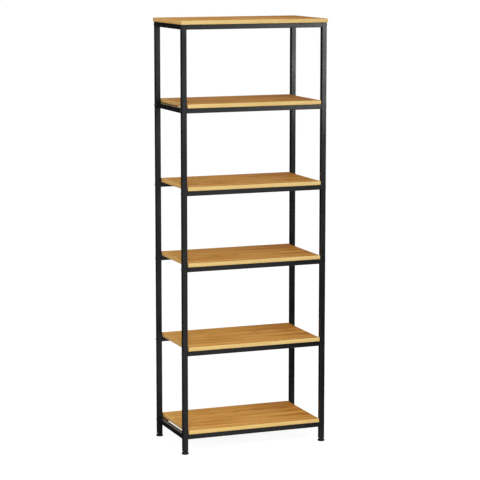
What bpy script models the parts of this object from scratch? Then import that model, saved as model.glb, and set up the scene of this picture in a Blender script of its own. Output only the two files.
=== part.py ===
"""Industrial shelving unit: square steel tubes, wood boards and screw-in levelling feet.

Metres, +Z up, front towards -Y. The origin is on the floor, under the middle of the frame.
"""

import math

import bmesh
import bpy
from mathutils import Matrix, Vector

# Overall height, and the plan of the frame over the outside of the posts
HEIGHT = 1.780
FRAME_WIDTH = 0.632
FRAME_DEPTH = 0.346

# Underside of the bottom board above the floor, and the steps to the undersides of the next three boards
BOTTOM_UNDERSIDE = 0.084
LOWER_STEP = 0.349
MIDDLE_STEP = 0.312

# Boards
BOARD_THICKNESS = 0.016
BOARD_EDGE_ROUND = 0.0008
BOARD_END_GAP = 0.0035
TOP_OVERHANG = 0.003

# Posts, each in two lengths joined by an inner sleeve
POST_TUBE = 0.021
POST_WALL = 0.0015
POST_CORNER = 0.0020
JOINT_DROP = 0.019
SLEEVE_LENGTH = 0.080
SLEEVE_WALL = 0.0015

# Rails
RAIL_TUBE = 0.020
RAIL_WALL = 0.0012
RAIL_CORNER = 0.0018

# Plug in the foot of each post: a collar that stands proud of the tube, and the threaded bush's bore
PLUG_FLANGE = 0.0026
PLUG_LIP = 0.0004
PLUG_DEPTH = 0.026
PLUG_RIM = 0.0009

# Levelling feet
PAD_RADIUS = 0.0150
PAD_HEIGHT = 0.0102
PAD_TOE = 0.0034
PAD_RIM = 0.0006
NECK_RADIUS = 0.0100
NECK_HEIGHT = 0.0020
STUD_RADIUS = 0.0040
STUD_LENGTH = 0.036
STUD_TIP = 0.0010

# Clearance between seated pieces, and between the stud and its bore
SEAT = 0.0003
STUD_CLEARANCE = 0.00035

# Fineness of round forms
CORNER_STEPS = 4
TURN_STEPS = 32

# Heights that follow from the sizes above
TOP_UNDERSIDE = HEIGHT - BOARD_THICKNESS
FIFTH_UNDERSIDE = BOTTOM_UNDERSIDE + LOWER_STEP
FOURTH_UNDERSIDE = FIFTH_UNDERSIDE + LOWER_STEP
THIRD_UNDERSIDE = FOURTH_UNDERSIDE + MIDDLE_STEP
# The second board halves what is left below the top
SECOND_UNDERSIDE = (TOP_UNDERSIDE + THIRD_UNDERSIDE) / 2
SHELF_UNDERSIDES = [
    TOP_UNDERSIDE,
    SECOND_UNDERSIDE,
    THIRD_UNDERSIDE,
    FOURTH_UNDERSIDE,
    FIFTH_UNDERSIDE,
    BOTTOM_UNDERSIDE,
]
FOOT_TOP = PAD_HEIGHT + NECK_HEIGHT
PLUG_BOTTOM = FOOT_TOP + SEAT
POST_BOTTOM = PLUG_BOTTOM + PLUG_FLANGE + SEAT
POST_TOP = TOP_UNDERSIDE - SEAT
POST_JOINT = SHELF_UNDERSIDES[2] - SEAT - RAIL_TUBE - JOINT_DROP

# Plan positions of the posts
POST_X = (FRAME_WIDTH - POST_TUBE) / 2
POST_Y = (FRAME_DEPTH - POST_TUBE) / 2
CORNERS = {
    "front_left": (-POST_X, -POST_Y),
    "front_right": (POST_X, -POST_Y),
    "back_left": (-POST_X, POST_Y),
    "back_right": (POST_X, POST_Y),
}
SIDE_RAIL_LEVELS = (1, 2, 6)


def make_material(name, colour, roughness, metallic):
    """A plain surface with the colour, roughness and metallic value of one kind of piece."""
    material = bpy.data.materials.new(name)
    material.use_nodes = True
    shader = material.node_tree.nodes["Principled BSDF"]
    shader.inputs["Base Color"].default_value = (*colour, 1.0)
    shader.inputs["Roughness"].default_value = roughness
    shader.inputs["Metallic"].default_value = metallic
    return material


def finish_object(name, mesh_builder, material, location, rotation=(0.0, 0.0, 0.0), parent=None):
    """Turn a finished bmesh into a placed, named object with outward faces."""
    bmesh.ops.recalc_face_normals(mesh_builder, faces=mesh_builder.faces)
    mesh = bpy.data.meshes.new(name)
    mesh_builder.to_mesh(mesh)
    mesh_builder.free()
    mesh.materials.append(material)
    mesh.shade_smooth()
    mesh.set_sharp_from_angle(angle=math.radians(35.0))
    piece = bpy.data.objects.new(name, mesh)
    bpy.context.collection.objects.link(piece)
    piece.location = location
    piece.rotation_euler = rotation
    piece.parent = parent
    return piece


def rounded_square(side, corner, height):
    """Points of a square with rounded corners at one height, counted from the +X side."""
    points = []
    inset = side / 2 - corner
    for quarter in range(4):
        turn = quarter * math.pi / 2
        centre = Matrix.Rotation(turn, 3, "Z") @ Vector((inset, inset, 0.0))
        for step in range(CORNER_STEPS + 1):
            angle = turn + step * math.pi / (2 * CORNER_STEPS)
            points.append(centre + corner * Vector((math.cos(angle), math.sin(angle), 0.0)))
    return [Vector((point.x, point.y, height)) for point in points]


def circle(radius, height):
    """Points of a circle that pair one to one with those of a rounded square."""
    count = 4 * (CORNER_STEPS + 1)
    first = math.pi / (4 * (CORNER_STEPS + 1))
    points = []
    for index in range(count):
        angle = first + 2 * math.pi * index / count
        points.append(Vector((radius * math.cos(angle), radius * math.sin(angle), height)))
    return points


def loft_around(rings):
    """Skin a series of rings, and the last to the first, into one open-ended tube wall."""
    builder = bmesh.new()
    loops = []
    for ring in rings:
        loops.append([builder.verts.new(point) for point in ring])
    for lower, upper in zip(loops, loops[1:] + loops[:1]):
        count = len(lower)
        for index in range(count):
            after = (index + 1) % count
            builder.faces.new((lower[index], lower[after], upper[after], upper[index]))
    return builder


def square_tube(side, wall, corner, length):
    """A square tube with rounded corners and open ends, along +Z from the origin."""
    inner_side = side - 2 * wall
    inner_corner = max(corner - wall, 0.2 * corner)
    return loft_around([
        rounded_square(side, corner, 0.0),
        rounded_square(side, corner, length),
        rounded_square(inner_side, inner_corner, length),
        rounded_square(inner_side, inner_corner, 0.0),
    ])


def board_solid(width, depth):
    """A flat board on the origin's plane, with its edges slightly rounded."""
    builder = bmesh.new()
    bmesh.ops.create_cube(builder, size=1.0)
    bmesh.ops.scale(builder, vec=(width, depth, BOARD_THICKNESS), verts=builder.verts)
    bmesh.ops.translate(builder, vec=(0.0, 0.0, BOARD_THICKNESS / 2), verts=builder.verts)
    bmesh.ops.bevel(
        builder,
        geom=builder.edges[:],
        offset=BOARD_EDGE_ROUND,
        offset_type="OFFSET",
        affect="EDGES",
        segments=2,
        profile=0.5,
        material=-1,
    )
    return builder


def turned_solid(profile):
    """Spin a profile of radius and height pairs, which starts and ends on the axis, into a solid."""
    builder = bmesh.new()
    chain = [builder.verts.new((radius, 0.0, height)) for radius, height in profile]
    edges = [builder.edges.new(pair) for pair in zip(chain, chain[1:])]
    bmesh.ops.spin(
        builder,
        geom=chain + edges,
        cent=(0.0, 0.0, 0.0),
        axis=(0.0, 0.0, 1.0),
        angle=2 * math.pi,
        steps=TURN_STEPS,
        use_merge=True,
    )
    bmesh.ops.remove_doubles(builder, verts=builder.verts, dist=0.00001)
    return builder


def foot_profile():
    """Outline of a levelling foot: rounded toe, upright rim, domed pad, neck and stud."""
    profile = [(0.0, 0.0), (PAD_RADIUS - PAD_TOE, 0.0)]
    toe_steps = 4
    for step in range(1, toe_steps + 1):
        angle = -math.pi / 2 + step * math.pi / (2 * toe_steps)
        profile.append((
            PAD_RADIUS - PAD_TOE + PAD_TOE * math.cos(angle),
            PAD_TOE + PAD_TOE * math.sin(angle),
        ))
    # Above its rim the pad draws in to the neck along a parabola
    rim_top = PAD_TOE + PAD_RIM
    dome_steps = 6
    for step in range(dome_steps + 1):
        share = step / dome_steps
        profile.append((
            PAD_RADIUS - (PAD_RADIUS - NECK_RADIUS) * share ** 2,
            rim_top + (PAD_HEIGHT - rim_top) * share,
        ))
    profile.append((NECK_RADIUS, FOOT_TOP))
    profile.append((STUD_RADIUS, FOOT_TOP))
    profile.append((STUD_RADIUS, FOOT_TOP + STUD_LENGTH - STUD_TIP))
    profile.append((STUD_RADIUS - STUD_TIP, FOOT_TOP + STUD_LENGTH))
    profile.append((0.0, FOOT_TOP + STUD_LENGTH))
    return profile


def plug_solid():
    """A square plug with a collar under the tube's end and a bore for the stud."""
    plug_side = POST_TUBE - 2 * POST_WALL - 2 * SEAT
    plug_corner = max(POST_CORNER - POST_WALL, 0.2 * POST_CORNER)
    collar_side = POST_TUBE + 2 * PLUG_LIP
    bore = (STUD_RADIUS + STUD_CLEARANCE) / math.cos(math.pi / (4 * (CORNER_STEPS + 1)))
    flange_top = PLUG_FLANGE
    plug_top = PLUG_FLANGE + PLUG_DEPTH
    return loft_around([
        rounded_square(collar_side - 2 * PLUG_RIM, POST_CORNER, 0.0),
        rounded_square(collar_side, POST_CORNER, PLUG_RIM),
        rounded_square(collar_side, POST_CORNER, flange_top),
        rounded_square(plug_side, plug_corner, flange_top),
        rounded_square(plug_side, plug_corner, plug_top),
        circle(bore, plug_top),
        circle(bore, 0.0),
    ])


def add_boards(wood):
    """The top board covers the frame; each shelf board lies between the left and right posts."""
    top = board_solid(FRAME_WIDTH + 2 * TOP_OVERHANG, FRAME_DEPTH + 2 * TOP_OVERHANG)
    finish_object("top_board", top, wood, (0.0, 0.0, TOP_UNDERSIDE))
    shelf_width = FRAME_WIDTH - 2 * POST_TUBE - 2 * BOARD_END_GAP
    for level, underside in enumerate(SHELF_UNDERSIDES[1:], start=2):
        shelf = board_solid(shelf_width, FRAME_DEPTH)
        finish_object(f"shelf_board_{level}", shelf, wood, (0.0, 0.0, underside))


def add_posts(paint, steel):
    """Lower and upper post lengths with the sleeve that joins them, at each corner."""
    sleeve_side = POST_TUBE - 2 * POST_WALL - 2 * SEAT
    sleeve_corner = max(POST_CORNER - POST_WALL, 0.2 * POST_CORNER)
    for corner, (x, y) in CORNERS.items():
        lower = square_tube(POST_TUBE, POST_WALL, POST_CORNER, POST_JOINT - SEAT / 2 - POST_BOTTOM)
        finish_object(f"post_lower_{corner}", lower, paint, (x, y, POST_BOTTOM))
        upper = square_tube(POST_TUBE, POST_WALL, POST_CORNER, POST_TOP - POST_JOINT - SEAT / 2)
        finish_object(f"post_upper_{corner}", upper, paint, (x, y, POST_JOINT + SEAT / 2))
        sleeve = square_tube(sleeve_side, SLEEVE_WALL, sleeve_corner, SLEEVE_LENGTH)
        finish_object(f"post_sleeve_{corner}", sleeve, steel, (x, y, POST_JOINT - SLEEVE_LENGTH / 2))


def add_rails(paint):
    """Long rails under every board at front and back, and short side rails at three levels."""
    long_length = FRAME_WIDTH - 2 * POST_TUBE - 2 * SEAT
    short_length = FRAME_DEPTH - 2 * POST_TUBE - 2 * SEAT
    quarter = math.pi / 2
    for level, underside in enumerate(SHELF_UNDERSIDES, start=1):
        middle = underside - SEAT - RAIL_TUBE / 2
        for side, y in (("front", -POST_Y), ("back", POST_Y)):
            rail = square_tube(RAIL_TUBE, RAIL_WALL, RAIL_CORNER, long_length)
            finish_object(
                f"rail_{side}_{level}", rail, paint, (-long_length / 2, y, middle), (0.0, quarter, 0.0))
        if level not in SIDE_RAIL_LEVELS:
            continue
        for side, x in (("left", -POST_X), ("right", POST_X)):
            rail = square_tube(RAIL_TUBE, RAIL_WALL, RAIL_CORNER, short_length)
            finish_object(
                f"rail_{side}_{level}", rail, paint, (x, -short_length / 2, middle), (-quarter, 0.0, 0.0))


def add_feet(plastic, rubber):
    """A plug in each post and the levelling foot that screws into it, on the post's own axis."""
    for corner, (x, y) in CORNERS.items():
        finish_object(f"post_plug_{corner}", plug_solid(), plastic, (x, y, PLUG_BOTTOM))
        screw_axis = bpy.data.objects.new(f"screw_axis_{corner}", None)
        bpy.context.collection.objects.link(screw_axis)
        screw_axis.location = (x, y, 0.0)
        foot = turned_solid(foot_profile())
        finish_object(f"levelling_foot_{corner}", foot, rubber, (0.0, 0.0, 0.0), parent=screw_axis)


def main():
    """Build the whole unit from an empty scene."""
    for leftover in list(bpy.data.objects):
        bpy.data.objects.remove(leftover)
    wood = make_material("board_wood", (0.46, 0.26, 0.10), 0.55, 0.0)
    paint = make_material("frame_black", (0.018, 0.018, 0.019), 0.42, 0.1)
    steel = make_material("sleeve_steel", (0.42, 0.42, 0.43), 0.35, 1.0)
    plastic = make_material("plug_plastic", (0.015, 0.015, 0.016), 0.55, 0.0)
    rubber = make_material("foot_plastic", (0.012, 0.012, 0.013), 0.6, 0.0)
    add_boards(wood)
    add_posts(paint, steel)
    add_rails(paint)
    add_feet(plastic, rubber)


main()
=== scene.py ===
"""Looks of the industrial shelving unit: banded wood boards, black tube frame, bolts, welds and feet.

Metres, +Z up, front towards -Y. Every piece is made in place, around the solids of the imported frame.
"""

import logging
import math
from dataclasses import dataclass, replace
from enum import Enum

import bmesh
import bpy
from mathutils import Matrix, Vector


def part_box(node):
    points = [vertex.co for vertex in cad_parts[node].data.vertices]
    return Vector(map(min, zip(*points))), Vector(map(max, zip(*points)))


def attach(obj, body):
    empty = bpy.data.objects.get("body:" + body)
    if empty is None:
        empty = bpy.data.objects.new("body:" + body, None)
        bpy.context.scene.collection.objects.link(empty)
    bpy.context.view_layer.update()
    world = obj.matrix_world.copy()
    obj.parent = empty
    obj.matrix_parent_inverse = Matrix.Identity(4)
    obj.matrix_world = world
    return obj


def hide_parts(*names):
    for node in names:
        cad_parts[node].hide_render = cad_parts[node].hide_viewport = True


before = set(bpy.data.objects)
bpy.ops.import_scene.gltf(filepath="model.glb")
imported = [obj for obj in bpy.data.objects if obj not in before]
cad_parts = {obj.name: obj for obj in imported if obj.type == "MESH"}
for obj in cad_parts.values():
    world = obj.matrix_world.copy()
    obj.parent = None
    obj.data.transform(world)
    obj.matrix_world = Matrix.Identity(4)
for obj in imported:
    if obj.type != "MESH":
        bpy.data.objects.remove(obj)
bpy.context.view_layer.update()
LOG = logging.getLogger("shelving_unit")

Triple = tuple[float, float, float]
Colour = Triple
Place = Triple
Span = tuple[float, float]
Material = bpy.types.Material
Socket = bpy.types.NodeSocket
Value = float | tuple[float, ...] | Socket
Builder = bmesh.types.BMesh
EdgeList = list[bmesh.types.BMEdge]

# Levels count down from the top board, and the upper lengths of the posts carry the first three
LEVELS = range(1, 7)
SIDE_RAIL_LEVELS = (1, 2, 6)
LAST_UPPER_LEVEL = 3

QUARTER_TURN = math.pi / 2
FULL_TURN = 2 * math.pi
SHARP_ANGLE = math.radians(40.0)
NEAR = 1e-6

# Stretches of a noise that a finish spreads over its own range, from most of the noise to its middle
WIDE: Span = (0.20, 0.80)
HALF: Span = (0.25, 0.75)
CORE: Span = (0.30, 0.70)

# Blender's factor on the scale of a wave, its profile for a round bevel, and its size for a grid of 1 m
WAVE_FACTOR = 20.0
ROUND_PROFILE = 0.5
UNIT_GRID = 0.5


class Slot(Enum):
    """Material slots of the record."""

    WOOD = "board_wood"
    PAINT = "frame_black"
    STEEL = "sleeve_steel"
    FOOT = "foot_plastic"


class Corner(Enum):
    """The four posts, each with its way out of the frame along X and along Y."""

    FRONT_LEFT = ("front_left", -1, -1)
    FRONT_RIGHT = ("front_right", 1, -1)
    BACK_LEFT = ("back_left", -1, 1)
    BACK_RIGHT = ("back_right", 1, 1)

    @property
    def label(self) -> str:
        """The corner's name as the frame's nodes have it."""
        return self.value[0]

    @property
    def across(self) -> int:
        """Sign of X on the corner's outer side."""
        return self.value[1]

    @property
    def depth(self) -> int:
        """Sign of Y on the corner's outer side."""
        return self.value[2]


class Edge(Enum):
    """The four edges of a board: axis that the edge faces along, and the sign of that axis."""

    FRONT = (1, -1)
    BACK = (1, 1)
    LEFT = (0, -1)
    RIGHT = (0, 1)

    @property
    def axis(self) -> int:
        """Index of the axis that the edge faces along."""
        return self.value[0]

    @property
    def sign(self) -> int:
        """Sign of the direction that the edge faces."""
        return self.value[1]

    @property
    def is_long(self) -> bool:
        """Whether the edge runs along the length of the board."""
        return self.axis == 1


class Grain(Enum):
    """Way that a pattern runs: whether X, Y and Z lie across it."""

    ALONG_X = (0, 1, 1)
    ALONG_Y = (1, 0, 1)
    ALONG_Z = (1, 1, 0)

    def scale(self, along: float, across: float) -> Place:
        """Repeats for each metre along X, Y and Z, from the repeats along and across the grain."""
        x, y, z = (across if is_across else along for is_across in self.value)
        return (x, y, z)


@dataclass(frozen=True)
class Pattern:
    """A soft noise, with its repeats for each metre along and across the grain.

    Detail counts its finer layers, rough is their strength, and warp draws the noise out of line.
    """

    along: float
    across: float
    detail: float = 2.0
    rough: float = 0.5
    warp: float = 0.0

    @classmethod
    def even(cls, repeats: float, **layers: float) -> "Pattern":
        """A pattern that repeats alike in every direction."""
        return cls(repeats, repeats, **layers)


class FinishGraph:
    """Node tree of one finish, with short calls that add nodes and join them."""

    # Largest part of a unit normal where a flat face ends, and where an edge is fully rounded
    ARRIS_ENDS: Span = (0.97, 0.80)

    def __init__(self, name: str) -> None:
        """Start a material with a bare Principled shader.

        Args:
            name: Name of the material.
        """
        self.material = bpy.data.materials.new(name)
        self.material.use_nodes = True
        self.tree = self.material.node_tree
        self.shader = self.tree.nodes["Principled BSDF"]
        self.place = self.add("ShaderNodeTexCoord").outputs["Object"]

    @staticmethod
    def socket(sockets: bpy.types.NodeInputs, key: str) -> Socket:
        """The input with this identifier, or else with this name."""
        found = [one for one in sockets if one.identifier == key]
        return found[0] if found else sockets[key]

    def add(self, kind: str, inputs: dict[str, Value] | None = None, **settings: object) -> bpy.types.Node:
        """Add a node.

        Args:
            kind: Blender's name for the kind of node.
            inputs: What goes into its sockets: a plain value, or another node's output.
            settings: Properties of the node.

        Returns:
            The new node.
        """
        node = self.tree.nodes.new(kind)
        for name, setting in settings.items():
            setattr(node, name, setting)
        for key, value in (inputs or {}).items():
            self.feed(self.socket(node.inputs, key), value)
        return node

    def feed(self, socket: Socket, value: Value) -> None:
        """Link an output to a socket, or set the socket's own value.

        Args:
            socket: The input to feed.
            value: An output to link, or a plain value.
        """
        if isinstance(value, Socket):
            self.tree.links.new(value, socket)
        else:
            socket.default_value = value

    def surface(self, **values: Value) -> None:
        """Set or link inputs of the shader.

        Args:
            values: What goes into each input, named in small letters with underscores for spaces.
        """
        names = {one.name.lower().replace(" ", "_"): one for one in self.shader.inputs}
        for name, value in values.items():
            self.feed(names[name], value)

    def mapped(self, scale: Place, move: Place = (0, 0, 0), turn: Place = (0, 0, 0)) -> Socket:
        """The surface's own place, moved, turned and scaled for a pattern.

        Args:
            scale: Repeats for each metre along X, Y and Z.
            move: Shift before the scale, in metres.
            turn: Turn about X, Y and Z, in radians.

        Returns:
            The vector for a texture.
        """
        centred = self.add("ShaderNodeMapping", {"Vector": self.place, "Location": move, "Rotation": turn})
        scaled = self.add("ShaderNodeMapping", {"Vector": centred.outputs["Vector"], "Scale": scale})
        return scaled.outputs["Vector"]

    def noise(
        self, pattern: Pattern, grain: Grain = Grain.ALONG_X, move: Place = (0, 0, 0), output: str = "Fac"
    ) -> Socket:
        """A pattern on the surface.

        Args:
            pattern: The noise.
            grain: Way that the pattern runs.
            move: Shift of the pattern, in metres.
            output: Output to take, the number or the colour.

        Returns:
            The noise, from 0 to 1.
        """
        inputs = {
            "Vector": self.mapped(grain.scale(pattern.along, pattern.across), move),
            "Scale": 1.0,
            "Detail": pattern.detail,
            "Roughness": pattern.rough,
            "Distortion": pattern.warp,
        }
        return self.add("ShaderNodeTexNoise", inputs).outputs[output]

    def ramp(self, factor: Socket, stops: tuple[float, ...], colours: tuple[Colour, ...]) -> Socket:
        """Colours along a factor.

        Args:
            factor: Where along the ramp.
            stops: Positions of the colours, in rising order.
            colours: Colour at each position.

        Returns:
            The blended colour.
        """
        node = self.add("ShaderNodeValToRGB", {"Fac": factor})
        marks = node.color_ramp.elements
        while len(marks) < len(stops):
            # A new mark starts halfway along and gets its own position below
            marks.new(0.5)
        for mark, position, colour in zip(marks, stops, colours):
            mark.position = position
            mark.color = (*colour, 1.0)
        return node.outputs["Color"]

    def blend(self, factor: Value, first: Value, second: Value, how: str = "MIX") -> Socket:
        """Mix two colours.

        Args:
            factor: Share of the second colour.
            first: The colour at 0.
            second: The colour at 1.
            how: Blender's name for the way of mixing.

        Returns:
            The mixed colour.
        """
        inputs = {"Factor_Float": factor, "A_Color": first, "B_Color": second}
        node = self.add("ShaderNodeMix", inputs, data_type="RGBA", blend_type=how)
        return next(one for one in node.outputs if one.identifier == "Result_Color")

    def reckon(self, how: str, first: Value, second: Value) -> Socket:
        """Result of Blender's math operation of this name on two numbers."""
        node = self.add("ShaderNodeMath", {"Value": first, "Value_001": second}, operation=how)
        return node.outputs["Value"]

    def total(self, first: Socket, *others: Socket) -> Socket:
        """Several numbers added up.

        Args:
            first: The number to start from.
            others: The numbers to add, in order.

        Returns:
            Their total.
        """
        result = first
        for other in others:
            result = self.reckon("ADD", result, other)
        return result

    def spread(self, factor: Socket, low: float, high: float, ends: Span = (0.0, 1.0)) -> Socket:
        """Stretch a factor between two ends over the range from low to high, and hold it within that."""
        inputs = {"Value": factor, "From Min": ends[0], "From Max": ends[1], "To Min": low, "To Max": high}
        return self.add("ShaderNodeMapRange", inputs).outputs["Result"]

    def arris(self) -> Socket:
        """How far the surface turns away from its flat faces.

        Returns:
            0 on a flat face, up to 1 on the middle of a rounded edge.
        """
        facing = self.add("ShaderNodeTexCoord").outputs["Normal"]
        ways = self.add("ShaderNodeSeparateXYZ", {"Vector": facing}).outputs
        x, y, z = (
            self.add("ShaderNodeMath", {"Value": way}, operation="ABSOLUTE").outputs["Value"] for way in ways
        )
        flattest = self.reckon("MAXIMUM", self.reckon("MAXIMUM", x, y), z)
        return self.spread(flattest, 0.0, 1.0, self.ARRIS_ENDS)

    def rubbed(self, patch: Pattern, share: Span) -> Socket:
        """Rub on the edges, from 0 to 1, in patches that set in over a share of a noise's values."""
        patches = self.noise(patch)
        return self.reckon("MULTIPLY", self.arris(), self.spread(patches, 0.0, 1.0, share))

    def relief(self, height: Socket, depth: float, strength: float) -> None:
        """Give the surface a relief: height from 0 to 1, its depth in metres, and how strongly it shows."""
        bump = self.add("ShaderNodeBump", {"Height": height, "Distance": depth, "Strength": strength})
        self.surface(normal=bump.outputs["Normal"])


def tinted(colour: Colour, strength: float, powers: Triple) -> Colour:
    """A colour made deeper or paler, by a power of the strength for each of red, green and blue."""
    red, green, blue = (part * strength ** power for part, power in zip(colour, powers))
    return (red, green, blue)


@dataclass(frozen=True)
class VeneerFinish:
    """Satin oak-coloured veneer, cut from a log whose rings run out along the board."""

    name: str
    centre: Place
    pith: Place
    drift: float
    # Brightness of this board's copy of the veneer: painted light and shade, which differs from board to
    # board
    strength: float
    # Powers of the board's painted light and shade strength for red, green and blue: a darker copy takes more
    # of the green and the blue
    veneer_painted_light_powers: Triple = (1.0, 1.3, 1.6)
    dark: Colour = (0.400, 0.155, 0.020)
    honey: Colour = (0.625, 0.303, 0.058)
    pale: Colour = (0.745, 0.415, 0.115)
    tone_stops: tuple[float, ...] = (0.05, 0.50, 0.95)
    grain: Grain = Grain.ALONG_X
    figure: Pattern = Pattern(1.7, 26.0, detail=3.0, rough=0.55, warp=0.4)
    figure_share: float = 0.55
    streak: Pattern = Pattern(3.0, 110.0, detail=3.0, rough=0.6)
    streak_share: float = 0.55
    fibre: Pattern = Pattern(16.0, 1000.0, rough=0.6)
    fibre_share: float = 0.12
    # Tone added along X: extra at the left end, and falling away from the middle to the right end
    left_tones: Span = (0.30, 0.00)
    left_span: Span = (-0.29, -0.13)
    right_tones: Span = (0.55, 0.10)
    right_span: Span = (0.00, 0.30)
    ring_width: float = 0.0075
    sway: float = 0.030
    bend: Pattern = Pattern(1.8, 9.0, detail=3.0, rough=0.45)
    ring_stops: tuple[float, ...] = (0.00, 0.20, 0.60, 1.00)
    ring_shades: tuple[Colour, ...] = (
        (0.76, 0.68, 0.58), (0.94, 0.92, 0.88), (1.05, 1.05, 1.05), (0.98, 0.97, 0.95),
    )
    pore: Colour = (0.230, 0.085, 0.012)
    pores: Pattern = Pattern(55.0, 1500.0, detail=1.0)
    pore_depth: float = 0.8
    pore_span: Span = (0.66, 0.78)
    early_pores: float = 0.16
    early_span: Span = (0.10, 0.55)
    roughness: Span = (0.60, 0.74)
    specular: float = 0.04
    relief_depth: float = 0.0002
    relief_strength: float = 0.35

    @property
    def shift(self) -> Place:
        """Shift that brings the middle of the board to the origin of its patterns."""
        x, y, z = self.centre
        return (-x, -y, -z)

    def rings(self, graph: FinishGraph) -> Socket:
        """Growth rings round the log's pith, bent a little along the board.

        Args:
            graph: The finish that is being built.

        Returns:
            Place in the ring's year, from the early wood at 0 to the late wood at 1.
        """
        from_pith = tuple(shift - away for shift, away in zip(self.shift, self.pith))
        bent = graph.add("ShaderNodeVectorMath", {
            "Vector": graph.noise(self.bend, self.grain, self.shift, output="Color"),
            "Vector_001": (0.0, self.sway, self.sway),
            "Vector_002": graph.mapped((1.0, 1.0, 1.0), from_pith, (0.0, self.drift, 0.0)),
        }, operation="MULTIPLY_ADD").outputs["Vector"]
        wave = graph.add("ShaderNodeTexWave", {
            "Vector": bent,
            "Scale": FULL_TURN / (WAVE_FACTOR * self.ring_width),
        }, wave_type="RINGS", rings_direction="X", wave_profile="SAW")
        return wave.outputs["Fac"]

    def make(self) -> Material:
        """Build the finish.

        Returns:
            The material.
        """
        graph = FinishGraph(self.name)
        figure, streak, fibre, pores = (
            graph.noise(one, self.grain, self.shift)
            for one in (self.figure, self.streak, self.fibre, self.pores)
        )
        year = self.rings(graph)
        along = graph.add("ShaderNodeSeparateXYZ", {"Vector": graph.place}).outputs["X"]
        tone = graph.total(
            graph.spread(figure, -self.figure_share, self.figure_share, WIDE),
            graph.spread(streak, -self.streak_share, self.streak_share, WIDE),
            graph.spread(fibre, -self.fibre_share, self.fibre_share, WIDE),
            graph.spread(along, *self.left_tones, self.left_span),
            graph.spread(along, *self.right_tones, self.right_span),
        )
        dark, honey, pale, pore = (
            tinted(one, self.strength, self.veneer_painted_light_powers)
            for one in (self.dark, self.honey, self.pale, self.pore)
        )
        colour = graph.ramp(tone, self.tone_stops, (dark, honey, pale))
        colour = graph.blend(1.0, colour, graph.ramp(year, self.ring_stops, self.ring_shades), "MULTIPLY")
        early = graph.spread(year, self.early_pores, 0.0, self.early_span)
        pore_mask = graph.spread(graph.total(pores, early), 0.0, self.pore_depth, self.pore_span)
        colour = graph.blend(pore_mask, colour, (*pore, 1.0))
        graph.surface(base_color=colour, roughness=graph.spread(fibre, *self.roughness, CORE))
        graph.surface(specular_ior_level=self.specular)
        graph.relief(graph.reckon("SUBTRACT", fibre, pore_mask), self.relief_depth, self.relief_strength)
        return graph.material


@dataclass(frozen=True)
class BandFinish:
    """Edge band: paler wood print with fine lines along its length."""

    name: str
    grain: Grain
    # Brightness of this copy of the band: painted light and shade, which differs from board to board
    strength: float = 1.0
    # Powers of the band's painted light and shade strength for red, green and blue: a brighter copy is also a
    # warmer one
    band_painted_light_powers: Triple = (1.0, 0.8, 0.2)
    shade: Colour = (0.492, 0.318, 0.106)
    body: Colour = (0.592, 0.410, 0.153)
    light: Colour = (0.665, 0.488, 0.213)
    tone_stops: tuple[float, ...] = (0.22, 0.50, 0.80)
    cloud: Pattern = Pattern(5.0, 60.0)
    cloud_share: float = 0.09
    lines: Pattern = Pattern(11.0, 420.0, rough=0.55)
    patch: Pattern = Pattern.even(24.0, detail=3.0, rough=0.6)
    patch_span: Span = (0.46, 0.66)
    rub: float = 0.7
    roughness: Span = (0.52, 0.66)
    specular: float = 0.20
    relief_depth: float = 0.00012
    relief_strength: float = 0.3

    def make(self) -> Material:
        """Build the finish.

        Returns:
            The material.
        """
        graph = FinishGraph(self.name)
        cloud = graph.noise(self.cloud, self.grain)
        lines = graph.noise(self.lines, self.grain)
        tone = graph.total(graph.spread(cloud, -self.cloud_share, self.cloud_share, HALF), lines)
        shade, body, light = (
            tinted(one, self.strength, self.band_painted_light_powers) for one in (self.shade, self.body, self.light)
        )
        colour = graph.ramp(tone, self.tone_stops, (shade, body, light))
        rub = graph.spread(graph.rubbed(self.patch, self.patch_span), 0.0, self.rub)
        colour = graph.blend(rub, colour, (*light, 1.0))
        graph.surface(base_color=colour, roughness=graph.spread(lines, *self.roughness, CORE))
        graph.surface(specular_ior_level=self.specular)
        graph.relief(lines, self.relief_depth, self.relief_strength)
        return graph.material


@dataclass(frozen=True)
class PowderCoat:
    """Black powder coat with fine orange peel, a slightly uneven sheen and rubbed edges."""

    name: str
    deep: Colour = (0.0060, 0.0060, 0.0063)
    worn: Colour = (0.0115, 0.0115, 0.0120)
    edge: Colour = (0.0300, 0.0300, 0.0310)
    cloud: Pattern = Pattern.even(9.0, detail=3.0, rough=0.6)
    peel: Pattern = Pattern.even(900.0, detail=1.0)
    patch: Pattern = Pattern.even(38.0, detail=3.0, rough=0.6)
    patch_span: Span = (0.50, 0.68)
    roughness: Span = (0.24, 0.31)
    polish: float = 0.06
    specular: float = 0.17
    relief_depth: float = 0.00004
    relief_strength: float = 0.10

    def make(self) -> Material:
        """Build the finish.

        Returns:
            The material.
        """
        graph = FinishGraph(self.name)
        cloud = graph.noise(self.cloud)
        rub = graph.rubbed(self.patch, self.patch_span)
        coat = graph.ramp(cloud, HALF, (self.deep, self.worn))
        sheen = graph.spread(cloud, *self.roughness, HALF)
        graph.surface(base_color=graph.blend(rub, coat, (*self.edge, 1.0)))
        graph.surface(roughness=graph.reckon("SUBTRACT", sheen, graph.spread(rub, 0.0, self.polish)))
        graph.surface(specular_ior_level=self.specular)
        graph.relief(graph.noise(self.peel), self.relief_depth, self.relief_strength)
        return graph.material


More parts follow.
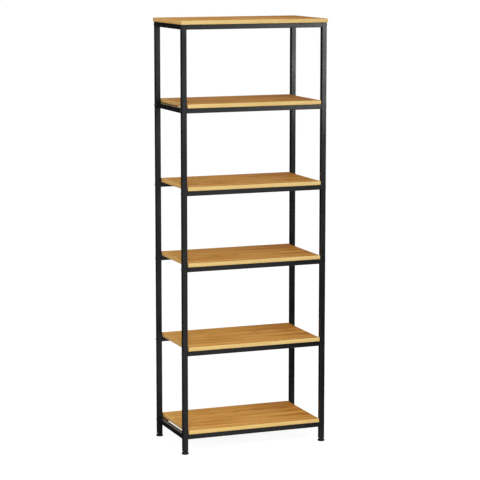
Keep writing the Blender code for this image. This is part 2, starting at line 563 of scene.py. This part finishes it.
@dataclass(frozen=True)
class MouldedPlastic:
    """Black moulded plastic with a fine spark-eroded grain."""

    name: str
    deep: Colour = (0.0070, 0.0070, 0.0075)
    dusty: Colour = (0.0150, 0.0150, 0.0155)
    tone_stops: Span = (0.30, 0.75)
    cloud: Pattern = Pattern.even(70.0)
    spark: Pattern = Pattern.even(2600.0, detail=1.0)
    roughness: Span = (0.48, 0.64)
    specular: float = 0.12
    relief_depth: float = 0.00004
    relief_strength: float = 0.3

    def make(self) -> Material:
        """Build the finish.

        Returns:
            The material.
        """
        graph = FinishGraph(self.name)
        cloud = graph.noise(self.cloud)
        spark = graph.noise(self.spark)
        graph.surface(base_color=graph.ramp(cloud, self.tone_stops, (self.deep, self.dusty)))
        graph.surface(roughness=graph.spread(spark, *self.roughness, CORE), specular_ior_level=self.specular)
        graph.relief(spark, self.relief_depth, self.relief_strength)
        return graph.material


@dataclass(frozen=True)
class BareSteel:
    """Steel with fine drawing lines along Z."""

    name: str
    dull: Colour = (0.300, 0.300, 0.305)
    bright: Colour = (0.560, 0.560, 0.570)
    lines: Pattern = Pattern(30.0, 900.0, rough=0.6)
    roughness: Span = (0.28, 0.44)
    relief_depth: float = 0.00003
    relief_strength: float = 0.3

    def make(self) -> Material:
        """Build the finish.

        Returns:
            The material.
        """
        graph = FinishGraph(self.name)
        lines = graph.noise(self.lines, Grain.ALONG_Z)
        graph.surface(base_color=graph.ramp(lines, CORE, (self.dull, self.bright)), metallic=1.0)
        graph.surface(roughness=graph.spread(lines, *self.roughness, CORE))
        graph.relief(lines, self.relief_depth, self.relief_strength)
        return graph.material


def put_in_order(builder: Builder) -> None:
    """Sort a mesh by place, because Blender's own order of a mesh can change from run to run.

    Args:
        builder: The mesh.
    """
    for number, vert in enumerate(sorted(builder.verts, key=lambda one: one.co[:])):
        vert.index = number
    builder.verts.sort()
    for elements in (builder.edges, builder.faces):
        ranked = sorted(elements, key=lambda one: sorted(vert.index for vert in one.verts))
        for number, element in enumerate(ranked):
            element.index = number
        elements.sort()


def add_object(name: str, builder: Builder, material: Material) -> bpy.types.Object:
    """Turn a mesh builder into an object of the scene.

    Args:
        name: Name of the object.
        builder: The mesh, already in place. It is freed.
        material: Finish of the object.

    Returns:
        The new object, at the origin.
    """
    mesh = bpy.data.meshes.new(name)
    builder.to_mesh(mesh)
    builder.free()
    mesh.materials.append(material)
    made = bpy.data.objects.new(name, mesh)
    bpy.context.scene.collection.objects.link(made)
    return made


def add_piece(name: str, builder: Builder, material: Material, body: str) -> bpy.types.Object:
    """Turn a mesh builder into a piece of the unit that rides on a body.

    Args:
        name: Name of the piece.
        builder: The mesh, already in place. It is freed.
        material: Finish of the piece.
        body: Body of the frame that carries the piece.

    Returns:
        The piece, at the origin.
    """
    bmesh.ops.remove_doubles(builder, verts=builder.verts, dist=NEAR)
    bmesh.ops.recalc_face_normals(builder, faces=builder.faces)
    put_in_order(builder)
    piece = add_object(name, builder, material)
    piece.data.shade_smooth()
    piece.data.set_sharp_from_angle(angle=SHARP_ANGLE)
    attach(piece, body)
    LOG.info("%s: %d faces, rides on %s", name, len(piece.data.polygons), body)
    return piece


def block(low: Vector, high: Vector) -> Builder:
    """A plain block between two corners.

    Args:
        low: Lowest corner.
        high: Highest corner.

    Returns:
        The mesh builder.
    """
    builder = bmesh.new()
    bmesh.ops.create_cube(builder, size=1.0)
    bmesh.ops.scale(builder, vec=high - low, verts=builder.verts)
    bmesh.ops.translate(builder, vec=(low + high) / 2, verts=builder.verts)
    return builder


def round_edges(builder: Builder, edges: EdgeList, radius: float, facets: int) -> None:
    """Round some edges of a mesh to a radius, with so many facets across."""
    bmesh.ops.bevel(builder, geom=edges, offset=radius, offset_type="OFFSET", affect="EDGES",
                    segments=facets, profile=ROUND_PROFILE, clamp_overlap=True)


def draw_out(builder: Builder, loop: EdgeList, scale: Place, move: Place) -> EdgeList:
    """Extrude a closed loop of edges about the Z axis, then scale and move the new loop.

    Args:
        builder: The mesh.
        loop: The edges to extrude.
        scale: Scale of the new loop about the origin.
        move: Shift of the new loop after its scale.

    Returns:
        The edges of the new loop.
    """
    made = bmesh.ops.extrude_edge_only(builder, edges=loop)["geom"]
    verts = [one for one in made if isinstance(one, bmesh.types.BMVert)]
    bmesh.ops.scale(builder, vec=scale, verts=verts)
    bmesh.ops.translate(builder, vec=move, verts=verts)
    fresh = set(verts)
    return [one for one in made if isinstance(one, bmesh.types.BMEdge) and set(one.verts) <= fresh]


@dataclass
class Board:
    """A veneered board with a band glued on each of its four edges. Angles are in degrees."""

    node: str
    level: int
    band_thickness: float = 0.0010
    arris: float = 0.0008
    arris_facets: int = 3
    seam: float = 0.00025
    seam_facets: int = 1
    # Brightness of each board's veneer, top board first: painted light and shade, mostly lighter towards the
    # lower boards
    strengths: tuple[float, ...] = (0.96, 0.88, 1.00, 0.99, 1.03, 1.05)
    # Brightness of each board's front and back bands, top board first: painted light and shade, lighter
    # towards the lower boards
    band_strengths: tuple[float, ...] = (0.955, 0.97, 0.97, 0.98, 1.035, 1.12)
    # Each board comes from a log of its own, turned on from the last, with its pith under the board
    log_turn: float = 137.5
    pith_along: float = 0.35
    pith_across: float = 0.09
    across_rate: float = 2.3
    pith_below: float = 0.030
    below_swing: float = 0.014
    swing_rate: float = 1.7
    grain_drift: float = 3.0

    def __post_init__(self) -> None:
        """Take the board's place from the frame."""
        self.low, self.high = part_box(self.node)

    def panel_box(self) -> tuple[Vector, Vector]:
        """The corners of the panel inside the bands."""
        inset = Vector((self.band_thickness, self.band_thickness, 0.0))
        return self.low + inset, self.high - inset

    def build_panel(self) -> Builder:
        """The panel, with a hairline groove where each band meets it.

        Returns:
            The mesh builder, in place.
        """
        builder = block(*self.panel_box())
        round_edges(builder, builder.edges[:], self.seam, self.seam_facets)
        return builder

    def build_band(self, edge: Edge) -> Builder:
        """A band with its outer edges eased.

        Args:
            edge: The edge of the board that the band covers.

        Returns:
            The mesh builder, in place.
        """
        low, high = self.low.copy(), self.high.copy()
        if not edge.is_long:
            low.y += self.band_thickness
            high.y -= self.band_thickness
        outer = low if edge.sign < 0 else high
        inner = high if edge.sign < 0 else low
        inner[edge.axis] = outer[edge.axis] - edge.sign * self.band_thickness
        builder = block(low, high)
        face = outer[edge.axis]
        on_face = [
            one for one in builder.edges
            if all(abs(vert.co[edge.axis] - face) < NEAR for vert in one.verts)
        ]
        upright = [one for one in on_face if abs(one.verts[0].co.z - one.verts[1].co.z) > NEAR]
        eased = on_face if edge.is_long else [one for one in on_face if one not in upright]
        round_edges(builder, eased, self.arris, self.arris_facets)
        return builder

    def finish(self) -> VeneerFinish:
        """The veneer of this board, with the log's pith at a place of its own.

        Returns:
            The finish.
        """
        middle = (self.low + self.high) / 2
        turn = self.level * math.radians(self.log_turn)
        pith = (
            self.pith_along * math.cos(turn),
            self.pith_across * math.sin(self.across_rate * turn),
            -self.pith_below - self.below_swing * math.cos(self.swing_rate * turn),
        )
        drift = math.radians(self.grain_drift) * (1 if self.level % 2 else -1)
        # Painted light and shade: the board's veneer is made lighter or darker as light falls on its level
        strength = self.strengths[self.level - 1]
        return VeneerFinish(f"oak_veneer_{self.level}", tuple(middle), pith, drift, strength)

    def dress(self, long_band: BandFinish, short_band: Material) -> None:
        """Make the panel and its bands in place of the frame's board.

        Args:
            long_band: Finish of the front and back bands, which each board has at a strength of its own:
                painted light and shade, lighter towards the lower boards.
            short_band: Finish of the left and right bands.
        """
        veneer = self.finish().make()
        panel = add_piece(f"board_panel_{self.level}", self.build_panel(), veneer, "frame")
        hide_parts(self.node)
        # Painted light and shade: each board's long bands are a lighter or darker copy of one finish
        strength = self.band_strengths[self.level - 1]
        own_band = replace(long_band, name=f"{long_band.name}_{self.level}", strength=strength).make()
        for edge in Edge:
            name = f"edge_band_{edge.name.lower()}_{self.level}"
            material = own_band if edge.is_long else short_band
            add_piece(name, self.build_band(edge), material, "frame")


@dataclass
class RailBolt:
    """Button-head bolt on the outer face of a post, which holds the end of a long rail."""

    corner: Corner
    level: int
    head_radius: float = 0.0058
    head_height: float = 0.0031
    rim_height: float = 0.0006
    crown_radius: float = 0.0031
    crown_steps: int = 5
    socket_across: float = 0.0040
    socket_depth: float = 0.0019
    socket_sides: int = 6
    # The socket narrows to a drilled tip
    tip_share: float = 0.35
    tip_depth: float = 0.0004
    seat: float = 0.0001
    sides: int = 36

    def place(self) -> Matrix:
        """Where the head sits: on the post's outer face, level with the rail, with its top outwards.

        Returns:
            The matrix that puts the head there.
        """
        half = "upper" if self.level <= LAST_UPPER_LEVEL else "lower"
        low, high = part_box(f"post_{half}_{self.corner.label}")
        side = "front" if self.corner.depth < 0 else "back"
        rail_low, rail_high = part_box(f"rail_{side}_{self.level}")
        face = (high.x if self.corner.across > 0 else low.x) + self.corner.across * self.seat
        spot = Vector((face, (low.y + high.y) / 2, (rail_low.z + rail_high.z) / 2))
        return Matrix.Translation(spot) @ Matrix.Rotation(self.corner.across * QUARTER_TURN, 4, "Y")

    def build(self) -> Builder:
        """The head, drawn up from its flat seat over the crown and down into the hex socket.

        Returns:
            The mesh builder, in place.
        """
        builder = bmesh.new()
        bmesh.ops.create_circle(builder, cap_ends=True, segments=self.sides, radius=self.head_radius)
        loop = draw_out(builder, builder.edges[:], (1, 1, 1), (0, 0, self.rim_height))
        radius = self.head_radius
        height = self.rim_height
        for step in range(1, self.crown_steps + 1):
            angle = step / self.crown_steps * QUARTER_TURN
            next_radius = self.crown_radius + (self.head_radius - self.crown_radius) * math.cos(angle)
            next_height = self.rim_height + (self.head_height - self.rim_height) * math.sin(angle)
            share = next_radius / radius
            loop = draw_out(builder, loop, (share, share, 1), (0, 0, next_height - height))
            radius, height = next_radius, next_height
        loop = draw_out(builder, loop, (1, 1, 1), (0, 0, 0))
        side_turn = FULL_TURN / self.socket_sides
        for vert in {vert for edge in loop for vert in edge.verts}:
            turn = math.atan2(vert.co.y, vert.co.x) % side_turn - side_turn / 2
            reach = self.socket_across / 2 / math.cos(turn)
            vert.co.xy = vert.co.xy.normalized() * reach
        loop = draw_out(builder, loop, (1, 1, 1), (0, 0, -self.socket_depth))
        loop = draw_out(builder, loop, (self.tip_share, self.tip_share, 1), (0, 0, -self.tip_depth))
        bmesh.ops.edgeloop_fill(builder, edges=loop)
        bmesh.ops.transform(builder, matrix=self.place(), verts=builder.verts)
        return builder

    def dress(self, material: Material) -> None:
        """Make the bolt head in this finish."""
        add_piece(f"rail_bolt_{self.corner.label}_{self.level}", self.build(), material, "frame")


@dataclass
class WeldBead:
    """Fillet weld round the end of a side rail, under the paint."""

    side: str
    level: int
    end: str
    upright_leg: float = 0.0016
    flank_leg: float = 0.0004
    cuts: int = 11
    corner_radius: float = 0.0018
    corner_facets: int = 4
    # Turn of the outline, in radians, beyond which a point of it is a corner
    corner_angle: float = 0.5
    bulge: float = 0.58
    ripple: float = 0.00012
    ripples: int = 44

    def build(self) -> Builder:
        """The bead, drawn as a ring from the rail's surface to the post's face.

        Returns:
            The mesh builder, in place.
        """
        low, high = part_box(f"rail_{self.side}_{self.level}")
        outwards = -1 if self.end == "front" else 1
        width, height = high.x - low.x, high.z - low.z
        post_low, post_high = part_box(f"post_upper_{self.end}_{self.side}")
        face = post_high.y if outwards < 0 else post_low.y
        builder = bmesh.new()
        bmesh.ops.create_grid(builder, x_segments=1, y_segments=1, size=UNIT_GRID)
        bmesh.ops.scale(builder, vec=(width, height, 1.0), verts=builder.verts)
        bmesh.ops.subdivide_edges(builder, edges=builder.edges[:], cuts=self.cuts)
        corners = [
            vert for vert in builder.verts
            if len(vert.link_edges) == 2 and vert.calc_edge_angle() > self.corner_angle
        ]
        bmesh.ops.bevel(builder, geom=corners, offset=self.corner_radius, offset_type="OFFSET",
                        affect="VERTICES", segments=self.corner_facets, profile=ROUND_PROFILE)
        bmesh.ops.delete(builder, geom=builder.faces[:], context="FACES_ONLY")
        root = builder.edges[:]
        widen = (1 + 2 * self.flank_leg / width, 1 + 2 * self.upright_leg / height, 1)
        swell = tuple(1 + (one - 1) * self.bulge for one in widen)
        toe = draw_out(builder, root, widen, (0, 0, 0))
        narrow = tuple(inner / outer for outer, inner in zip(widen, swell))
        ridge = draw_out(builder, toe, narrow, (0, 0, self.bulge * self.upright_leg))
        self.add_ripple(ridge)
        close_in = tuple(1 / one for one in swell)
        crown = draw_out(builder, ridge, close_in, (0, 0, (1 - self.bulge) * self.upright_leg))
        bmesh.ops.bridge_loops(builder, edges=crown + root)
        turn = Matrix.Rotation(-outwards * QUARTER_TURN, 4, "X")
        spot = Vector(((low.x + high.x) / 2, face, (low.z + high.z) / 2))
        bmesh.ops.transform(builder, matrix=Matrix.Translation(spot) @ turn, verts=builder.verts)
        return builder

    def add_ripple(self, ridge: EdgeList) -> None:
        """Set the ridge in small waves, as the weld pool leaves them.

        Args:
            ridge: Edges along the top of the bead.
        """
        for vert in {vert for edge in ridge for vert in edge.verts}:
            wave = math.sin(self.ripples * math.atan2(vert.co.y, vert.co.x))
            vert.co.z += self.ripple * wave

    def dress(self, material: Material) -> None:
        """Make the bead in the frame's finish."""
        name = f"weld_{self.side}_{self.level}_{self.end}"
        add_piece(name, self.build(), material, "frame")


@dataclass
class LevellingFoot:
    """Moulded pad on a threaded stud, which screws into the plug of a post."""

    corner: Corner
    pad_radius: float = 0.0150
    pad_height: float = 0.0102
    toe: float = 0.0034
    rim: float = 0.0006
    neck_radius: float = 0.0100
    neck_height: float = 0.0020
    ease: float = 0.0004
    tread: float = 0.0014
    hollow: float = 0.0006
    sides: int = 64
    toe_steps: int = 6
    dome_steps: int = 10
    stud_radius: float = 0.0040
    stud_length: float = 0.0360
    pitch: float = 0.00125
    thread_depth: float = 0.00065
    thread_sides: int = 20
    # Shares of the pitch at which the thread's root ends, and its crest starts and ends
    root_end: float = 0.15
    crest: Span = (0.50, 0.65)
    # Turns that are spun past the stud's ends and then cut off
    spare_turns: int = 2

    def __post_init__(self) -> None:
        """Take the foot's axis from the frame."""
        low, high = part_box(f"levelling_foot_{self.corner.label}")
        self.axis = Vector(((low.x + high.x) / 2, (low.y + high.y) / 2, low.z))

    @property
    def pad_top(self) -> float:
        """Height of the neck's top, where the stud comes out."""
        return self.pad_height + self.neck_height

    def pad_outline(self) -> list[Vector]:
        """The pad's outline, from the hollow underneath over the toe and the dome to the neck.

        Returns:
            The points of the outline, in order.
        """
        sole = self.pad_radius - self.toe
        points = [(0.0, self.hollow), (sole - 2 * self.tread, self.hollow), (sole - self.tread, 0.0)]
        for step in range(self.toe_steps + 1):
            angle = (step / self.toe_steps - 1) * QUARTER_TURN
            points.append((sole + self.toe * math.cos(angle), self.toe * (1 + math.sin(angle))))
        rim_top = self.toe + self.rim
        for step in range(self.dome_steps + 1):
            share = step / self.dome_steps
            points.append((self.pad_radius - (self.pad_radius - self.neck_radius) * share ** 2,
                           rim_top + (self.pad_height - rim_top) * share))
        top = self.pad_top
        points += [(self.neck_radius, top - self.ease), (self.neck_radius - self.ease, top), (0.0, top)]
        return [Vector((radius, 0.0, height)) for radius, height in points]

    def build_pad(self) -> Builder:
        """The pad, spun about its axis.

        Returns:
            The mesh builder, in place.
        """
        builder = bmesh.new()
        chain = [builder.verts.new(point) for point in self.pad_outline()]
        edges = [builder.edges.new(pair) for pair in zip(chain, chain[1:])]
        bmesh.ops.spin(builder, geom=chain + edges, cent=(0, 0, 0), axis=(0, 0, 1), angle=FULL_TURN,
                       steps=self.sides, use_merge=True)
        bmesh.ops.translate(builder, vec=self.axis, verts=builder.verts)
        return builder

    def build_stud(self) -> Builder:
        """The stud's thread, spun up from one ridge and cut flat at both ends.

        Returns:
            The mesh builder, in place.
        """
        builder = bmesh.new()
        root = self.stud_radius - self.thread_depth
        crest_start, crest_end = self.crest
        ridge = [
            (root, 0.0),
            (root, self.root_end),
            (self.stud_radius, crest_start),
            (self.stud_radius, crest_end),
            (root, 1.0),
        ]
        chain = [builder.verts.new((radius, 0.0, (share - 1) * self.pitch)) for radius, share in ridge]
        edges = [builder.edges.new(pair) for pair in zip(chain, chain[1:])]
        turns = math.ceil(self.stud_length / self.pitch) + self.spare_turns
        bmesh.ops.spin(builder, geom=chain + edges, cent=(0, 0, 0), axis=(0, 0, 1),
                       dvec=(0, 0, self.pitch / self.thread_sides), angle=FULL_TURN * turns,
                       steps=self.thread_sides * turns)
        bmesh.ops.remove_doubles(builder, verts=builder.verts, dist=NEAR)
        for height, up in ((self.pitch, -1), (self.pitch + self.stud_length, 1)):
            cut = bmesh.ops.bisect_plane(builder, geom=builder.verts[:] + builder.edges[:] + builder.faces[:],
                                         plane_co=(0, 0, height), plane_no=(0, 0, up), clear_outer=True)
            rim = [one for one in cut["geom_cut"] if isinstance(one, bmesh.types.BMEdge)]
            bmesh.ops.edgeloop_fill(builder, edges=rim)
        lift = Vector((0.0, 0.0, self.pad_top - self.pitch))
        bmesh.ops.translate(builder, vec=self.axis + lift, verts=builder.verts)
        return builder

    def dress(self, plastic: Material, steel: Material) -> None:
        """Make the pad and the stud in place of the frame's foot.

        Args:
            plastic: Finish of the pad.
            steel: Finish of the stud.
        """
        label = self.corner.label
        body = f"foot_{label}"
        pad = add_piece(f"foot_pad_{label}", self.build_pad(), plastic, body)
        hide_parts(f"levelling_foot_{label}")
        add_piece(f"foot_stud_{label}", self.build_stud(), steel, body)


@dataclass
class TubeFrame:
    """Posts, sleeves, rails and plugs, which keep the frame's own solids and get their finishes."""

    paint: Material
    steel: Material
    plastic: Material

    def finish_of(self, node: str) -> Material:
        """The finish of a node of the frame.

        Args:
            node: Name of the node.

        Returns:
            Its material.
        """
        if node.startswith("post_sleeve"):
            return self.steel
        if node.startswith("post_plug"):
            return self.plastic
        return self.paint

    def dress(self) -> None:
        """Put the finishes on the nodes that stay."""
        for name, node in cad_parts.items():
            if name.startswith(("post_", "rail_")):
                node.material_slots[0].material = self.finish_of(name)
                LOG.info("%s: %s", name, node.material_slots[0].material.name)


@dataclass(frozen=True)
class SoftBox:
    """A soft studio lamp that looks at the unit, with its power in watts and whether gloss mirrors it."""

    name: str
    place: Place
    target: Place
    size: Span
    power: float
    mirrored: bool = True

    def add(self) -> None:
        """Make the lamp."""
        lamp = bpy.data.lights.new(self.name, "AREA")
        lamp.shape = "RECTANGLE"
        lamp.size, lamp.size_y = self.size
        lamp.energy = self.power
        holder = bpy.data.objects.new(self.name, lamp)
        bpy.context.scene.collection.objects.link(holder)
        holder.visible_camera = False
        holder.visible_glossy = self.mirrored
        holder.location = self.place
        aim = Vector(self.target) - Vector(self.place)
        holder.rotation_euler = aim.to_track_quat("-Z", "Y").to_euler()


@dataclass(frozen=True)
class ShadeCard:
    """A black studio card that only mirrored light meets, so that the paint has something dark to mirror."""

    name: str
    corner: Place
    along: Place
    up: Place

    def add(self, material: Material) -> None:
        """Make the card.

        Args:
            material: Finish of the card.
        """
        along, up = Vector(self.along), Vector(self.up)
        stance = Matrix((along, up, along.cross(up).normalized())).transposed().to_4x4()
        stance.translation = Vector(self.corner) + (along + up) / 2
        builder = bmesh.new()
        bmesh.ops.create_grid(builder, x_segments=1, y_segments=1, size=UNIT_GRID, matrix=stance)
        card = add_object(self.name, builder, material)
        card.visible_camera = False
        card.visible_diffuse = False
        card.visible_shadow = False
        card.visible_transmission = False


@dataclass
class Studio:
    """Pale floor, plain soft light and the camera at the photograph's angle.

    The camera's angles are in degrees, and its lens and sensor in millimetres.
    """

    floor_radius: float = 60.0
    floor_sides: int = 96
    floor_tone: float = 0.34
    floor_shown: float = 0.20
    floor_glow: float = 0.922
    fill: float = 0.42
    backdrop: float = 1.0
    eye: Place = (-2.94294, -7.57097, 2.10591)
    yaw: float = 21.244
    pitch: float = 8.7606
    level_tilt: float = 90.0
    lens: float = 147.007
    sensor: float = 36.0
    farthest: float = 200.0
    soft_boxes: tuple[SoftBox, ...] = (
        SoftBox("key_box", (-4.30, -10.63, 8.93), (0.0, 0.0, 0.9), (5.2, 5.2), 1200.0),
        SoftBox("low_box", (-0.9, -3.6, 1.15), (0.0, 0.0, 0.3), (1.4, 0.9), 31.0, mirrored=False),
        SoftBox("right_box", (2.15, -3.9, 1.45), (0.3, -0.1, 1.6), (0.8, 0.6), 40.0),
        SoftBox("left_strip", (-3.2, -1.4, 1.5), (0.0, 0.0, 0.9), (0.4, 2.4), 22.0, mirrored=False),
    )
    shade_cards: tuple[ShadeCard, ...] = (
        ShadeCard("card_left_floor", (-5.7, -0.16, 0.003), (5.99, 0.0, 0.0), (0.0, 4.16, 0.0)),
        ShadeCard("card_left_back", (-5.7, 4.0, 0.003), (5.99, 0.0, 0.0), (0.0, 0.0, 4.5)),
        ShadeCard("card_right_floor", (0.33, -0.97, 0.003), (0.82, 0.0, 0.0), (0.0, 0.72, 0.0)),
        ShadeCard("card_right_front", (0.42, -0.97, 0.003), (0.73, 0.0, 0.0), (0.0, 0.0, 1.3)),
        ShadeCard("card_right_side", (0.35, -0.23, 1.25), (0.0, 0.22, 0.0), (0.0, 0.0, 0.7)),
    )

    @staticmethod
    def seen(tree: bpy.types.NodeTree) -> Socket:
        """Whether a ray shows the background: straight, mirrored or through glass.

        Args:
            tree: Node tree that asks.

        Returns:
            1 for such a ray, and 0 for one that carries light.
        """
        path = tree.nodes.new("ShaderNodeLightPath")
        result = path.outputs["Is Camera Ray"]
        for name in ("Is Glossy Ray", "Is Transmission Ray"):
            either = tree.nodes.new("ShaderNodeMath")
            either.operation = "MAXIMUM"
            tree.links.new(result, either.inputs[0])
            tree.links.new(path.outputs[name], either.inputs[1])
            result = either.outputs["Value"]
        return result

    def add_floor(self) -> None:
        """A wide pale floor that keeps the unit's shadow."""
        builder = bmesh.new()
        bmesh.ops.create_circle(builder, cap_ends=True, segments=self.floor_sides, radius=self.floor_radius)
        graph = FinishGraph("floor_paint")
        seen = self.seen(graph.tree)
        tones = [(tone, tone, tone, 1.0) for tone in (self.floor_tone, self.floor_shown)]
        graph.surface(base_color=graph.blend(seen, *tones), roughness=1.0, specular_ior_level=0.0)
        glow = graph.reckon("MULTIPLY", seen, self.floor_glow)
        graph.surface(emission_color=(1.0, 1.0, 1.0, 1.0), emission_strength=glow)
        floor = add_object("studio_floor", builder, graph.material)

    def add_world(self) -> None:
        """Even fill light, with white where the background shows."""
        world = bpy.data.worlds.new("studio_world")
        bpy.context.scene.world = world
        world.use_nodes = True
        tree = world.node_tree
        tree.nodes.clear()
        output = tree.nodes.new("ShaderNodeOutputWorld")
        mixed = tree.nodes.new("ShaderNodeMixShader")
        tree.links.new(self.seen(tree), mixed.inputs["Fac"])
        for index, strength in enumerate((self.fill, self.backdrop), start=1):
            shade = tree.nodes.new("ShaderNodeBackground")
            shade.inputs["Color"].default_value = (1.0, 1.0, 1.0, 1.0)
            shade.inputs["Strength"].default_value = strength
            tree.links.new(shade.outputs["Background"], mixed.inputs[index])
        tree.links.new(mixed.outputs["Shader"], output.inputs["Surface"])

    def add_camera(self) -> None:
        """The camera at the photograph's place."""
        camera = bpy.data.cameras.new("photo_camera")
        camera.lens = self.lens
        camera.sensor_width = self.sensor
        camera.clip_end = self.farthest
        holder = bpy.data.objects.new("photo_camera", camera)
        bpy.context.scene.collection.objects.link(holder)
        holder.location = self.eye
        holder.rotation_euler = (math.radians(self.level_tilt - self.pitch), 0.0, math.radians(-self.yaw))
        bpy.context.scene.camera = holder

    def build(self) -> None:
        """Set up floor, light, camera and the way that colours are shown."""
        self.add_floor()
        card_black = MouldedPlastic("shade_card_black").make()
        for card in self.shade_cards:
            card.add(card_black)
        self.add_world()
        for box in self.soft_boxes:
            box.add()
        self.add_camera()
        bpy.context.scene.view_settings.view_transform = "Standard"


def main() -> None:
    """Build the studio and every piece of the unit, in order."""
    logging.basicConfig(level=logging.INFO, format="%(name)s: %(message)s")
    Studio().build()

    paint = PowderCoat("black_powder_coat").make()
    bolt_peel = Pattern.even(2400.0, detail=1.0)
    bolt_black = PowderCoat("black_bolt", specular=0.25, roughness=(0.30, 0.42), peel=bolt_peel).make()
    plastic = MouldedPlastic("black_plastic").make()
    steel = BareSteel("drawn_steel").make()
    # The sleeves' dark colour is partly their own mill scale and partly painted shade, so the seam between
    # the post lengths shows dark
    mill_scale_and_seam_shade = BareSteel("mill_scale_steel", dull=(0.055, 0.055, 0.059), bright=(0.110, 0.110, 0.116))
    TubeFrame(paint, mill_scale_and_seam_shade.make(), plastic).dress()

    long_band = BandFinish("edge_band_long", Grain.ALONG_X)
    short_band = BandFinish("edge_band_short", Grain.ALONG_Y, shade=(0.585, 0.310, 0.080),
                            body=(0.715, 0.415, 0.136), light=(0.800, 0.510, 0.205)).make()
    for level in LEVELS:
        node = "top_board" if level == 1 else f"shelf_board_{level}"
        Board(node, level).dress(long_band, short_band)

    for corner in Corner:
        for level in LEVELS:
            RailBolt(corner, level).dress(bolt_black)
        LevellingFoot(corner).dress(plastic, steel)

    for side in ("left", "right"):
        for level in SIDE_RAIL_LEVELS:
            for end in ("front", "back"):
                WeldBead(side, level, end).dress(paint)


if __name__ == "__main__":
    main()
